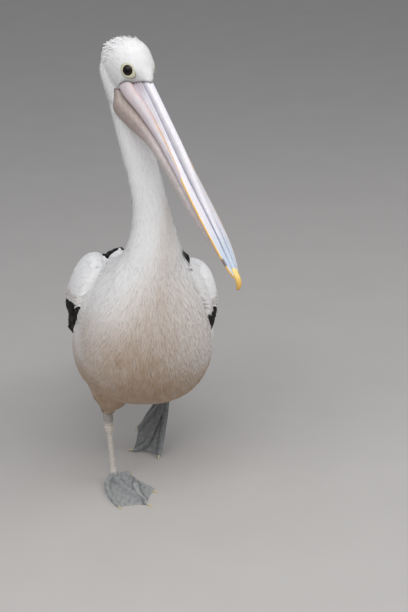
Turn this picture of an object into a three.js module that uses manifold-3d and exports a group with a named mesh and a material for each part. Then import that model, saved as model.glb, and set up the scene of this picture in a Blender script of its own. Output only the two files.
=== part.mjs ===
// An Australian pelican, life size, walking: the right foot is planted, the left one is trailing
// on its toe tips. Millimetres, +Z up, the bird faces -Y and its left side is +X.
// x = 0, y = 0 starts on the floor under the middle of the body; the whole bird is moved at the
// end so that the middle of its floor area is the origin.
import * as THREE from 'three';
import { LoftGeometry } from 'three/addons/geometries/LoftGeometry.js';
import { mergeVertices } from 'three/addons/utils/BufferGeometryUtils.js';
import Module from 'manifold-3d';

const wasm = await Module();
wasm.setup();
const { Manifold, Mesh: WMesh } = wasm;
const V = (x, y, z) => new THREE.Vector3(x, y, z);
const GAP = 0.3;                     // clearance between neighbouring pieces

// ---------------------------------------------------------------- helpers
function solid(geometry) {
  const g = new THREE.BufferGeometry();
  g.setAttribute('position', geometry.attributes.position);
  g.setIndex(geometry.index);
  const m = mergeVertices(g, 1e-4);
  return new Manifold(new WMesh({
    numProp: 3,
    vertProperties: new Float32Array(m.attributes.position.array),
    triVerts: new Uint32Array(m.index.array),
  }));
}
function geometryOf(manifold) {
  const mesh = manifold.getMesh();
  const g = new THREE.BufferGeometry();
  const p = new Float32Array(mesh.numVert * 3);
  for (let i = 0; i < mesh.numVert; i++)
    for (let k = 0; k < 3; k++)
      p[3 * i + k] = mesh.vertProperties[i * mesh.numProp + k];
  g.setAttribute('position', new THREE.BufferAttribute(p, 3));
  g.setIndex(new THREE.BufferAttribute(new Uint32Array(mesh.triVerts), 1));
  return g;
}
const largest = (m) => m.decompose().sort((a, b) => b.volume() - a.volume())[0];
const loft = (rings) => solid(new LoftGeometry(rings, { closed: true, capStart: true, capEnd: true }));

// One ring of a loft: centre c, side and up directions, half width w, height a above and b below.
// n is the fullness of the outline (2 = ellipse, more = squarer).
function ring(c, side, up, w, a, b, n = 2, count = 24) {
  const out = [];
  for (let i = 0; i < count; i++) {
    const t = (2 * Math.PI * i) / count;
    const cs = Math.cos(t);
    const sn = Math.sin(t);
    const x = Math.sign(cs) * Math.abs(cs) ** (2 / n) * w;
    const y = Math.sign(sn) * Math.abs(sn) ** (2 / n) * (sn > 0 ? a : b);
    out.push(c.clone().addScaledVector(side, x).addScaledVector(up, y));
  }
  return out;
}
// A tube of changing size along a path; rows: x, y, z, half width, half height.
function tube(rows, count, upHint = V(0, 0, 1), grow = 0) {
  const rings = rows.map(([x, y, z, w, h], i) => {
    const a = rows[Math.max(i - 1, 0)];
    const b = rows[Math.min(i + 1, rows.length - 1)];
    const along = V(b[0] - a[0], b[1] - a[1], b[2] - a[2]).normalize();
    const side = upHint.clone().cross(along).normalize();
    const up = along.clone().cross(side).normalize();
    return ring(V(x, y, z), side, up, w + grow, h + grow, h + grow, 2, count);
  });
  return loft(rings);
}

// ---------------------------------------------------------------- body and neck
// The trunk leans 5 degrees onto the left side; `lean` turns a point of the upright trunk.
const LEAN = THREE.MathUtils.degToRad(5);
const PIVOT = V(5, 0, 320);
const lean = (p, k = 1) => p.clone().sub(PIVOT).applyAxisAngle(V(0, 1, 0), LEAN * k).add(PIVOT);

// Rows: back point y, z; breast point y, z; half width; sideways shift; share of the lean;
// fullness; where the widest level lies between back (0) and belly (1).
const BODY_SIDES = 22;
const BODY = [
  [322, 254, 316, 226, 24, 5, 1, 2.0, 0.5],
  [296, 276, 284, 208, 48, 5, 1, 2.1, 0.5],
  [244, 316, 220, 186, 80, 5, 1, 2.2, 0.52],
  [180, 360, 142, 171, 104, 5, 1, 2.25, 0.54],
  [110, 402, 72, 163, 118, 4, 1, 2.3, 0.56],
  [40, 440, 5, 165, 124, 4, 1, 2.3, 0.57],
  [-25, 468, -60, 184, 125, 3, 1, 2.3, 0.57],
  [-66, 484, -125, 215, 121, 3, 1, 2.35, 0.57],
  [-92, 496, -175, 263, 111, 3, 1, 2.35, 0.56],
  [-108, 508, -204, 322, 96, 4, 1, 2.3, 0.55],
  [-118, 522, -216, 384, 77, 3, 1, 2.15, 0.53],
  [-125, 540, -214, 444, 58, 3, 0.7, 2.0, 0.5],
  [-128, 563, -206, 505, 43, 8, 0.35, 2.0, 0.5],
  [-128, 592, -196, 555, 34.5, 10, 0.1, 2.0, 0.5],
  [-126, 625, -189, 600, 30, 7, 0, 2.0, 0.5],
  [-123, 660, -183, 642, 29.3, -1, 0, 2.0, 0.5],
  [-119, 698, -178, 686, 29, -11, 0, 2.0, 0.5],
  [-115, 735, -175, 728, 29.5, -19, 0, 2.0, 0.5],
  [-112, 770, -173, 764, 31, -25, 0, 2.0, 0.5],
  [-112, 802, -170, 794, 32.8, -31.4, 0, 2.0, 0.5],
  [-117, 832, -165, 815, 32, -36.6, 0, 2.0, 0.5],
  [-127, 855, -160, 834, 25, -37, 0, 2.0, 0.5],
];
function bodySolid(grow = 0) {
  return loft(BODY.map(([backY, backZ, breastY, breastZ, w, x, k, n, wide]) => {
    const back = V(x, backY, backZ);
    const breast = V(x, breastY, breastZ);
    const up = back.clone().sub(breast).normalize();
    const depth = back.distanceTo(breast);
    const middle = breast.clone().lerp(back, 1 - wide);
    const above = depth * wide + grow;
    const below = depth * (1 - wide) + grow;
    return ring(middle, V(1, 0, 0), up, w + grow, above, below, n, BODY_SIDES).map((p) => lean(p, k));
  }));
}

// ---------------------------------------------------------------- head frame
// F runs along the bill, U is the bird's crown side, L its left.
const YAW = THREE.MathUtils.degToRad(33);
const DOWN = THREE.MathUtils.degToRad(47.2);
const ROLL = THREE.MathUtils.degToRad(3);
const ROOT = V(-5, -188, 810);       // middle of the bill's root
const F = V(Math.sin(YAW) * Math.cos(DOWN), -Math.cos(YAW) * Math.cos(DOWN), -Math.sin(DOWN));
const L0 = V(Math.cos(YAW), Math.sin(YAW), 0);
const U0 = F.clone().cross(L0);
const U = U0.clone().multiplyScalar(Math.cos(ROLL)).addScaledVector(L0, Math.sin(ROLL));
const L = L0.clone().multiplyScalar(Math.cos(ROLL)).addScaledVector(U0, -Math.sin(ROLL));
const H = (f, l, u) => ROOT.clone().addScaledVector(F, f).addScaledVector(L, l).addScaledVector(U, u);

// Rows: distance along the bill axis, height of the middle, half width, height over it, depth
// under it, fullness.
const HEAD_SIDES = 16;
const HEAD = [
  [-88, -15, 9, 9, 11, 2.0],
  [-87, -20, 14, 15, 22, 2.0],
  [-77, -15, 23.5, 27, 35, 2.0],
  [-62, -8, 30.5, 37.5, 46, 2.1],
  [-43, -3, 33.5, 40.5, 49, 2.1],
  [-24, -1, 31.5, 37, 48, 2.1],
  [-8, 0, 27, 29, 46, 2.1],
  [3, 0, 22, 20, 42, 2.1],
];
function headSolid(grow = 0) {
  const last = HEAD.length - 1;
  return loft(HEAD.map(([f, u, w, a, b, n], i) => {
    const end = i === 0 ? -grow : i === last ? grow : 0;
    return ring(H(f + end, 0, u), L, U, w + grow, a + grow, b + grow, n, HEAD_SIDES);
  }));
}

// ---------------------------------------------------------------- bill
// Upper mandible. Rows: f, half width, tomium height, groove half width, groove height, ridge top.
const UPPER = [
  [-10, 15, -4, 8, 11.6, 22.5],
  [14, 14.5, -3, 7.7, 10.5, 22],
  [50, 13, -1, 7.3, 9.6, 20.5],
  [90, 12.6, 0, 7, 7.8, 18],
  [130, 13.6, 0, 6.7, 5.4, 14.5],
  [165, 16, -0.8, 6.4, 3.8, 11.5],
  [200, 18.6, -1.8, 6.2, 3, 9],
  [250, 18.4, -2.2, 5.6, 2, 6.2],
  [290, 16.9, -2.7, 4.8, 0.6, 4],
  [315, 14.6, -4.4, 4.4, -1.6, 1.8],
  [335, 11, -6.4, 3.8, -3.6, -0.4],
  [350, 6, -8, 3, -5, -2.2],
];
function upperSolid(grow = 0) {
  return loft(UPPER.map(([f, w, t, g, gz, top]) => {
    const half = [
      [w, t - 1.2],
      [w, t + 1],
      [(w + g) / 2, (t + gz) / 2 + 1.2],
      [g + 1, gz],
      [g - 0.5, gz + (top - gz) * 0.45],
      [g * 0.6, top - 0.8],
    ];
    const outline = [
      ...half,
      [0, top],
      ...half.map(([x, z]) => [-x, z]).reverse(),
      [-w * 0.5, t - 0.2],
      [w * 0.5, t - 0.2],
    ];
    return outline.map(([x, z]) => H(f, x + Math.sign(x) * grow, z + (z > t ? grow : -grow)));
  }));
}
// The nail, the hooked end of the bill. Rows: f, height, half width, half thickness.
const NAIL = [
  [332, -3, 6.4, 3.2],
  [345, -4.2, 6.2, 4],
  [356, -6, 5.4, 4.8],
  [364, -10, 4.2, 4.2],
  [367, -15, 2.8, 3],
  [367, -19.5, 0.8, 0.9],
];
const nailRows = NAIL.map(([f, u, w, h]) => [...H(f, 0, u).toArray(), w, h]);
// Lower mandible. Rows: f, half width, top, bottom.
const LOWER = [
  [-13, 24, -2, -38],
  [10, 24, -1, -38],
  [30, 22.4, 2.6, -30],
  [50, 20, 3.6, -25],
  [70, 19, 3.6, -21],
  [95, 18.3, 3.2, -17],
  [125, 18, 2.6, -14],
  [165, 17.6, 0.6, -12],
  [205, 16.6, -3.6, -11.6],
  [255, 15, -3.9, -10.5],
  [300, 12, -5.4, -10.5],
  [340, 5, -9.4, -12],
];
// Throat pouch. Rows: f, half width, top, bottom.
const POUCH = [
  [-9, 23, -30, -63],
  [8, 25.5, -33, -78],
  [45, 23.5, -23, -66],
  [85, 19.5, -16, -48],
  [126, 17, -12, -41],
  [190, 15, -9.5, -36.5],
  [220, 14, -9, -33],
  [250, 12.5, -9, -28.6],
  [280, 10.5, -8.8, -24.6],
  [305, 8, -9.4, -19],
];
const TROUGH_SIDES = 10;
const trough = (rows, n, grow = 0) => loft(rows.map(([f, w, top, bottom]) => {
  const widest = bottom + (top - bottom) * 0.7;
  const above = top - widest + grow;
  const below = widest - bottom + grow;
  return ring(H(f, 0, widest), L, U, w + grow, above, below, n, TROUGH_SIDES);
}));

// ---------------------------------------------------------------- wings
// Each wing is laid along the flank: bend in front, tips over the root of the tail.
// Rows: y, outward distance of the panel's middle, height, half thickness, half height, tilt (deg,
// top edge leaning to the back's middle).
const WING = [
  [-120, 86, 403, 9, 13, 8],
  [-113, 89, 401, 21, 33, 8],
  [-96, 93, 399, 29, 51, 8],
  [-62, 96, 396, 34, 63, 8],
  [-15, 98, 388, 35.5, 69, 10],
  [40, 95, 372, 35, 68, 14],
  [95, 88, 350, 32, 64, 20],
  [150, 77, 325, 27, 56, 25],
  [200, 67, 302, 22, 46, 29],
  [245, 57, 282, 17, 34, 32],
  [276, 50, 268, 11, 20, 34],
  [288, 47, 262, 5, 9, 35],
];
const FLIGHT = [
  [-40, 96, 346, 14, 32, 2],
  [-15, 97, 341, 28, 58, 2],
  [40, 97, 326, 30, 62, 6],
  [100, 90, 306, 30, 58, 12],
  [170, 76, 284, 26, 50, 20],
  [240, 58, 260, 20, 42, 28],
  [310, 40, 236, 13, 31, 36],
  [370, 28, 213, 8, 20, 42],
  [408, 21, 200, 4, 10, 46],
];
const SCAP = [
  [-58, 62, 445, 4, 12, 42],
  [-44, 64, 446, 10, 28, 42],
  [-6, 66, 436, 16, 40, 44],
  [50, 63, 411, 18, 43, 48],
  [120, 57, 375, 17, 41, 53],
  [180, 50, 343, 15, 35, 57],
  [230, 43, 317, 11, 25, 60],
  [262, 37, 300, 4, 10, 60],
];
// s = -1 right, +1 left; outer and drop shift the left panel, which hangs a little lower.
function panel(rows, s, sides, n, grow = 0, outer = 0) {
  const left = s > 0;
  const shiftOut = left ? outer : 0;
  const drop = left ? 3 : 0;
  const last = rows.length - 1;
  const rings = rows.map(([y, x, z, t, h, tilt], i) => {
    const a = THREE.MathUtils.degToRad(tilt);
    const side = V(Math.cos(a), 0, s * Math.sin(a));
    const up = V(-s * Math.sin(a), 0, Math.cos(a));
    const end = i === 0 ? -grow : i === last ? grow : 0;
    const middle = V(s * x + shiftOut, y + end, z - drop);
    return ring(middle, side, up, t + grow, h + grow, h + grow, n, sides).map((p) => lean(p));
  });
  rings.reverse();                   // from the tail forwards, as the trunk runs
  return loft(rings);
}
const wingSolid = (s, grow = 0) => panel(WING, s, 14, 2.2, grow);
const scapularSolid = (s, grow = 0) => panel(SCAP, s, 10, 2, grow);
const flightSolid = (s, grow = 0) => panel(FLIGHT, s, 12, 2.2, grow, 8);

// ---------------------------------------------------------------- tail
// Rows: y, height, half width, thickness over the middle.
const TAIL = [
  [432, 176, 44, 3],
  [424, 178, 60, 4],
  [390, 192, 66, 6],
  [350, 210, 62, 9],
  [310, 229, 52, 12],
  [282, 240, 40, 14],
];
const TAIL_UP = V(0, 0.42, 0.9).normalize();
const tailSolid = () => loft(TAIL.map(([y, z, w, t]) => (
  ring(V(5, y, z), V(1, 0, 0), TAIL_UP, w, t, t * 0.6, 2.6, 12).map((p) => lean(p))
)));

// ---------------------------------------------------------------- legs and feet
const RIGHT_ANKLE = V(-61, 3, 124);
const RIGHT_BASE = V(-54, -3, 12);
const LEFT_ANKLE = V(60, 66, 196);
const LEFT_BASE = V(58, 131, 100);
// Feathered shins: x, y, z, half width, half depth.
const THIGH_R = [
  [-60.5, 3, 141, 9.8, 9.8],
  [-60, 2, 150, 15, 15.5],
  [-58, 0, 162, 23, 25],
  [-54, -4, 180, 33, 36],
  [-48, -8, 210, 40, 46],
];
const THIGH_L = [
  [59.4, 85, 168, 9.8, 9.8],
  [59.6, 78, 178, 17, 17],
  [60, 66, 192, 26, 27],
  [57, 46, 216, 36, 40],
];
const thighSolid = (rows, grow = 0) => tube(rows, 14, V(0, 1, 0.02), grow);
// A shank: foot joint, slender tarsus, knuckled ankle. Rows: distance from the foot joint (or,
// in the second table, from the ankle), half width, half depth.
const TARSUS = [
  [-7, 5, 5],
  [-3, 7.6, 7.4],
  [5, 7.4, 7.2],
  [17, 5.4, 6.4],
  [45, 4.9, 6],
  [75, 5, 6.2],
];
const KNUCKLE = [
  [-25, 5.6, 7],
  [-18, 8.6, 9],
  [-10, 9, 9.6],
  [-7, 8.4, 9],
  [-2, 9.4, 10],
  [8, 9.6, 9.8],
  [20, 8.4, 8.6],
];
function shank(base, ankle, grow = 0) {
  const up = ankle.clone().sub(base).normalize();
  const row = (from, [d, w, h]) => [...from.clone().addScaledVector(up, d).toArray(), w, h];
  const rows = [...TARSUS.map((r) => row(base, r)), ...KNUCKLE.map((r) => row(ankle, r))];
  return tube(rows, 10, V(0, 1, 0.02), grow);
}
// Toes: x, y, z of the middle line, half width, half height. The right foot is flat on the
// floor, so its rows give x and y from the foot joint, half width and half height; the left one
// hangs from its joint and only the ends of its two longest toes touch.
const flat = (rows) => rows.map(([x, y, w, h]) => (
  [RIGHT_BASE.x + x, RIGHT_BASE.y + y, h * 0.62, w, h]
));
const TOES_R = {
  IV: flat([
    [-4, 6, 6.4, 7],
    [-13, -16, 6, 6.6],
    [-14, -44, 5.2, 6],
    [-9, -72, 4.6, 5.4],
    [-1, -94, 4, 4.6],
    [3, -104, 3, 3.4],
  ]),
  III: flat([
    [0, 4, 6.6, 7.2],
    [10, -20, 6.2, 6.9],
    [23, -46, 5.6, 6.3],
    [38, -73, 5, 5.7],
    [50, -93, 4.3, 4.9],
    [56, -102, 3.1, 3.5],
  ]),
  II: flat([
    [4, 5, 6, 6.8],
    [24, -9, 5.4, 6.4],
    [44, -25, 4.8, 5.8],
    [62, -42, 4.2, 5],
    [71, -52, 3, 3.6],
  ]),
  I: flat([
    [3, 7, 5.4, 6],
    [16, 15, 4.6, 5.2],
    [27, 21, 3.8, 4.4],
    [32, 23, 2.7, 3.2],
  ]),
};
const CLAWS_R = {
  IV: flat([
    [2.4, -102.6, 2.4, 2.7],
    [4.6, -108, 2, 2.3],
    [6, -113, 1, 1],
  ]),
  III: flat([
    [55.2, -100.8, 2.5, 2.8],
    [59.6, -107, 2.1, 2.4],
    [63, -112, 1, 1],
  ]),
  II: flat([
    [70.2, -51.1, 2.4, 2.7],
    [74.8, -56, 1.9, 2.2],
    [78, -60, 1, 1],
  ]),
  I: flat([
    [31, 22.6, 2.1, 2.4],
    [34.6, 23.8, 1.6, 1.9],
    [37, 24.5, 0.8, 0.9],
  ]),
};
const TOES_L = {
  IV: [
    [61, 131, 100, 6, 6.6],
    [56, 117, 70, 5.6, 6.2],
    [49, 100, 38, 5, 5.4],
    [42.5, 86, 13.4, 4.4, 4.8],
    [39.5, 79, 3.6, 3.2, 3.4],
  ],
  III: [
    [57, 131, 99, 6.4, 6.8],
    [45, 122, 71, 6, 6.4],
    [31, 112, 41, 5.4, 5.8],
    [19, 107, 18, 5, 5.2],
    [3, 108.5, 5.8, 4.2, 4.4],
    [-9, 112, 2.5, 3, 3.2],
  ],
  II: [
    [54, 134, 97, 5.6, 6],
    [38, 138, 74, 5, 5.4],
    [18, 141, 50, 4.4, 4.6],
    [4, 141, 36, 3, 3.2],
  ],
  I: [
    [54, 135, 99, 5, 5.4],
    [46, 141, 95, 4.2, 4.4],
    [39, 146, 89, 2.8, 3],
  ],
};
const CLAWS_L = {
  IV: [
    [40.2, 80.6, 6, 2.4, 2.6],
    [38.4, 76.5, 3, 2, 2.2],
    [37, 72.5, 0.5, 1, 1],
  ],
  III: [
    [-7.6, 111.6, 4.2, 2.4, 2.6],
    [-13.5, 113.6, 2.6, 2, 2.2],
    [-19, 115.4, 0.6, 1, 1],
  ],
  II: [
    [5, 141, 37, 2.3, 2.5],
    [1, 141.4, 32.5, 1.9, 2.1],
    [-2, 141.6, 28, 0.9, 0.9],
  ],
  I: [
    [39.9, 145.3, 89.8, 2, 2.2],
    [36.6, 148, 86, 1.6, 1.8],
    [34.6, 149.4, 81.6, 0.8, 0.8],
  ],
};
// Direction of the toes' upper side.
const TOP_R = V(0, 0.02, 1);
const TOP_L = V(0.3, -1, 0.55);

const path = (rows) => new THREE.CatmullRomCurve3(rows.map(([x, y, z]) => V(x, y, z)));
const WEB_HALF = 1;                  // half the thickness of the skin between the toes
const WEB_GRID = 4;                  // points along and across it
// Skin between two toes: a sheet whose free edge curves in by `curve` of the toes' length and
// which bellies out by `sag`.
function web(a, b, reach, curve, sag = V(0, 0, 0)) {
  const n = WEB_GRID;
  const A = path(a);
  const B = path(b);
  const grid = [];
  for (let i = 0; i < n; i++) {
    for (let j = 0; j < n; j++) {
      const t = j / (n - 1);
      const arch = Math.sin(Math.PI * t);
      const s = (i / (n - 1)) * reach * (1 - curve * arch);
      grid.push(A.getPoint(s).lerp(B.getPoint(s), t).addScaledVector(sag, arch * s));
    }
  }
  const id = (i, j) => i * n + j;
  const normals = grid.map((_, k) => {
    const i = Math.max(Math.floor(k / n), 1);
    const j = k % n;
    const du = grid[id(Math.min(i + 1, n - 1), j)].clone().sub(grid[id(i - 1, j)]);
    const dv = grid[id(i, Math.min(j + 1, n - 1))].clone().sub(grid[id(i, Math.max(j - 1, 0))]);
    return du.cross(dv).normalize();
  });
  const face = (h) => grid.map((p, k) => p.clone().addScaledVector(normals[k], h));
  const faces = [...face(WEB_HALF), ...face(-WEB_HALF)];
  const under = n * n;
  const tri = [];
  const quad = (p, q, r, s) => tri.push(p, q, r, p, r, s);
  for (let i = 0; i < n - 1; i++) {
    for (let j = 0; j < n - 1; j++) {
      quad(id(i, j), id(i + 1, j), id(i + 1, j + 1), id(i, j + 1));
      quad(under + id(i, j), under + id(i, j + 1), under + id(i + 1, j + 1), under + id(i + 1, j));
    }
    quad(id(i + 1, 0), id(i, 0), under + id(i, 0), under + id(i + 1, 0));
    quad(id(i, n - 1), id(i + 1, n - 1), under + id(i + 1, n - 1), under + id(i, n - 1));
    quad(id(0, i), id(0, i + 1), under + id(0, i + 1), under + id(0, i));
    quad(id(n - 1, i + 1), id(n - 1, i), under + id(n - 1, i), under + id(n - 1, i + 1));
  }
  const g = new THREE.BufferGeometry().setFromPoints(faces);
  g.setIndex(tri);
  const m = solid(g);
  return m.volume() < 0 ? solid(turned(g)) : m;
}
// The same surface with its faces turned over.
function turned(g) {
  const ix = Array.from(g.index.array);
  for (let i = 0; i < ix.length; i += 3)
    [ix[i], ix[i + 1]] = [ix[i + 1], ix[i]];
  g.setIndex(ix);
  return g;
}
const onFloor = (m) => m.trimByPlane([0, 0, 1], 0);
const toe = (rows, top, grow = 0) => tube(rows, rows.length > 3 ? 6 : 5, top, grow);
const joined = (solids) => solids.reduce((a, b) => a.add(b));
// Webs: the two toes, how far along them the skin reaches, how deep its edge curves, its sag.
const WEBS_R = [
  ['IV', 'III', 0.985, 0.1],
  ['III', 'II', 0.97, 0.09],
  ['II', 'I', 0.95, 0.1],
];
const WEBS_L = [
  ['IV', 'III', 0.985, 0.04, V(0, 6, 0)],
  ['III', 'II', 0.97, 0.07, V(0, 8, 0)],
  ['II', 'I', 0.97, 0.03, V(0, 5, 0)],
];
function rightFoot() {
  const low = (rows) => rows.map(([x, y, , w, h]) => [x, y, WEB_HALF, w, h]);
  const toes = Object.values(TOES_R).map((rows) => toe(rows, TOP_R));
  const webs = WEBS_R.map(([a, b, reach, curve]) => web(low(TOES_R[a]), low(TOES_R[b]), reach, curve));
  return joined([...toes, ...webs]);
}
function leftFoot() {
  const toes = Object.values(TOES_L).map((rows) => toe(rows, TOP_L));
  const webs = WEBS_L.map(([a, b, reach, curve, sag]) => web(TOES_L[a], TOES_L[b], reach, curve, sag));
  return joined([...toes, ...webs]);
}

// ---------------------------------------------------------------- eyes
const GLOBE = 11;                    // radius of the eyeball
const GLOBE_IN = 6.9;                // its middle lies this far under the skin
const LIDS = [13, 13.4, 1.8];        // bare ring: half length, half height, half thickness
// s = -1 right, +1 left. The eye sits in the side of the head, looking out, up and a little ahead.
function eyeAt(s) {
  const out = L.clone().multiplyScalar(0.87 * s).addScaledVector(U, 0.43).addScaledVector(F, 0.23);
  out.normalize();
  const ahead = F.clone().addScaledVector(out, -F.dot(out)).normalize();
  const across = out.clone().cross(ahead);
  return { out, ahead, across, skin: H(-17, 27 * s, 13.9) };
}
function globe(e, grow = 0) {
  const c = e.skin.clone().addScaledVector(e.out, -GLOBE_IN);
  return solid(new THREE.SphereGeometry(GLOBE + grow, 12, 6).translate(c.x, c.y, c.z));
}
function lids(e, grow = 0) {
  const [a, b, t] = LIDS.map((half) => half + grow);
  const axes = [
    e.ahead.clone().multiplyScalar(a),
    e.across.clone().multiplyScalar(b),
    e.out.clone().multiplyScalar(t),
  ];
  const placed = new THREE.Matrix4().makeBasis(...axes).setPosition(e.skin);
  return solid(new THREE.SphereGeometry(1, 12, 4).applyMatrix4(placed));
}

// ---------------------------------------------------------------- putting it together
const SIDES = [['right', -1], ['left', 1]];
const nodes = [];
const add = (name, m, material) => nodes.push([name, largest(m), material]);
// The part of a solid over or under a plane, half the clearance away from it.
const over = (m, point, n) => m.trimByPlane(n.toArray(), n.dot(point) + GAP / 2);
const under = (m, point, n) => m.trimByPlane(n.clone().negate().toArray(), -n.dot(point) + GAP / 2);

// head, neck and trunk in one, with sockets for the eyes
const grown = bodySolid(GAP).add(headSolid(GAP));
let flesh = bodySolid().add(headSolid());
for (const [side, s] of SIDES) {
  const e = eyeAt(s);
  flesh = flesh.subtract(lids(e, GAP)).subtract(globe(e, GAP));
  add(`eye_${side}`, globe(e), 'eye');
  add(`eye_ring_${side}`, lids(e).subtract(globe(e, GAP)), 'ring');
}

// thin cuts: where head, neck, trunk and rump meet (a point and the upward direction)
const upward = (y, z) => V(0, y, z).normalize();
const CUT_HEAD = [V(0, -128, 768), upward(0.02, 1)];
const CUT_NECK = [V(0, -150, 651), upward(0.3, 1)];
const CUT_BASE = [V(0, -169, 512), upward(-0.62, 0.72)];
const CUT_RUMP = [V(0, 228, 240), upward(-1, 0.22)];
const neckAndBody = under(flesh, ...CUT_HEAD);
const body = under(flesh, ...CUT_BASE);
add('head', over(flesh, ...CUT_HEAD), 'plumage');
add('neck_upper', over(neckAndBody, ...CUT_NECK), 'plumage');
add('neck_lower', over(under(neckAndBody, ...CUT_NECK), ...CUT_BASE), 'plumage');
add('trunk', over(body, ...CUT_RUMP), 'plumage');
add('rump', under(body, ...CUT_RUMP), 'plumage');

// bill and pouch
const nailGrown = tube(nailRows, 10, U, GAP);
add('bill_upper', upperSolid().subtract(grown).subtract(nailGrown), 'bill');
add('bill_nail', tube(nailRows, 10, U), 'nail');
const underBill = (m) => m.subtract(grown).subtract(upperSolid(GAP)).subtract(nailGrown);
add('mandible', underBill(trough(LOWER, 2.3)), 'bill');
add('pouch', underBill(trough(POUCH, 2)).subtract(trough(LOWER, 2.3, GAP)), 'pouch');

// wings and tail; the tail lies between the tips of the flight feathers
const MIDDLE = 5;                    // x of the middle plane that parts the flight feathers
let tail = tailSolid().subtract(grown);
for (const [side, s] of SIDES) {
  const scapulars = scapularSolid(s).subtract(grown).subtract(wingSolid(s, GAP));
  const covered = joined([wingSolid(s, GAP), scapularSolid(s, GAP)]);
  const flight = flightSolid(s).subtract(grown).subtract(covered);
  tail = tail.subtract(flightSolid(s, GAP));
  add(`wing_${side}`, wingSolid(s).subtract(grown), 'plumage');
  add(`scapulars_${side}`, scapulars, 'dark');
  add(`flight_${side}`, flight.trimByPlane([s, 0, 0], s * MIDDLE + GAP), 'dark');
}
add('tail', tail, 'dark');

// legs
const LEGS = {
  right: [THIGH_R, RIGHT_BASE, RIGHT_ANKLE, rightFoot(), CLAWS_R, TOP_R],
  left: [THIGH_L, LEFT_BASE, LEFT_ANKLE, leftFoot(), CLAWS_L, TOP_L],
};
for (const [side, [thigh, base, ankle, foot, claws, top]] of Object.entries(LEGS)) {
  add(`thigh_${side}`, thighSolid(thigh).subtract(grown), 'plumage');
  const bare = shank(base, ankle).subtract(thighSolid(thigh, GAP)).subtract(grown);
  add(`shank_${side}`, onFloor(bare), 'leg');
  const webbed = Object.values(claws).reduce(
    (m, rows) => m.subtract(toe(rows, top, GAP)),
    foot.subtract(shank(base, ankle, GAP)),
  );
  add(`foot_${side}`, onFloor(webbed), 'leg');
  for (const [name, rows] of Object.entries(claws))
    add(`claw_${name}_${side}`, onFloor(toe(rows, top)), 'claw');
}

const MATERIALS = {
  plumage: new THREE.MeshStandardMaterial({ color: 0xe9e7e3, roughness: 0.85 }),
  dark: new THREE.MeshStandardMaterial({ color: 0x1d1a18, roughness: 0.7 }),
  bill: new THREE.MeshStandardMaterial({ color: 0xe3cfd0, roughness: 0.45 }),
  nail: new THREE.MeshStandardMaterial({ color: 0xe0a040, roughness: 0.4 }),
  pouch: new THREE.MeshStandardMaterial({ color: 0xa9978c, roughness: 0.55 }),
  eye: new THREE.MeshStandardMaterial({ color: 0x14100f, roughness: 0.1 }),
  ring: new THREE.MeshStandardMaterial({ color: 0xe6dc9e, roughness: 0.5 }),
  leg: new THREE.MeshStandardMaterial({ color: 0x8b8f92, roughness: 0.6 }),
  claw: new THREE.MeshStandardMaterial({ color: 0xd8cf9c, roughness: 0.4 }),
};
const root = new THREE.Group();
for (const [name, manifold, mat] of nodes) {
  const mesh = new THREE.Mesh(geometryOf(manifold), MATERIALS[mat]);
  mesh.name = name;
  root.add(mesh);
}
// middle of the whole bird's floor area to the origin
const box = new THREE.Box3().setFromObject(root);
const shift = V(-(box.min.x + box.max.x) / 2, -(box.min.y + box.max.y) / 2, -box.min.z);
root.children.forEach((mesh) => mesh.geometry.translate(shift.x, shift.y, shift.z));
export default root;
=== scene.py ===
"""An Australian pelican, life size, walking: skin, feathers, bill, eyes, legs and feet.

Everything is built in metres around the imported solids. Tables of sizes are in millimetres,
measured from the floor point under the body.
"""
import math

import bmesh
import bpy
import numpy as np
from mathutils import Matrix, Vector
from mathutils.bvhtree import BVHTree
from mathutils.kdtree import KDTree
from numpy.random import default_rng


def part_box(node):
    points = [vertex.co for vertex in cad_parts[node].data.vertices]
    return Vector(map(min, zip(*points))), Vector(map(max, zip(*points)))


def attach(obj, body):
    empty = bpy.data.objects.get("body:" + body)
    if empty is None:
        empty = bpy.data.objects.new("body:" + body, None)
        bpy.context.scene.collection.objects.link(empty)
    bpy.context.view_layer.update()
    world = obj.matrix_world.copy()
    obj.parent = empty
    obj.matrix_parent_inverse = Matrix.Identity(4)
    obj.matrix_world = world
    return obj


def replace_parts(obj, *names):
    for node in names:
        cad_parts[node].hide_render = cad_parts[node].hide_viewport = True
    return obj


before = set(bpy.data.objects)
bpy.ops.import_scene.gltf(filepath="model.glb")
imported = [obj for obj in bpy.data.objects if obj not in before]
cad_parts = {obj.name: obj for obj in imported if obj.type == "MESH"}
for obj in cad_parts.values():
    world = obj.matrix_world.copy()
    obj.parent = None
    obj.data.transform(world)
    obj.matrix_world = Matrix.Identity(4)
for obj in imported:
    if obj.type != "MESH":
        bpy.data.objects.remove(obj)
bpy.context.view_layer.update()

MM = 0.001
# The low corner of the planted foot's box, in table millimetres.
FOOT_LOW = np.array([-72.68, -108.09, 0.0])
ORIGIN = np.array(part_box("foot_right")[0]) - FOOT_LOW * MM
ORIGIN[2] = 0.0


# ------ small helpers
def place(mm):
    """Table millimetres to metres in the shared frame."""
    return ORIGIN + np.asarray(mm, float) * MM


def table(points):
    """Metres in the shared frame to table millimetres."""
    return (np.asarray(points) - ORIGIN) / MM


def unit(a):
    return a / np.maximum(np.linalg.norm(a, axis=-1, keepdims=True), 1e-12)


def dot(a, b):
    return np.sum(a * b, axis=-1, keepdims=True)


def step(low, high, value):
    """0 below low, 1 above high, smooth between."""
    t = np.clip((value - low) / (high - low), 0, 1)
    return t * t * (3 - 2 * t)


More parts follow.
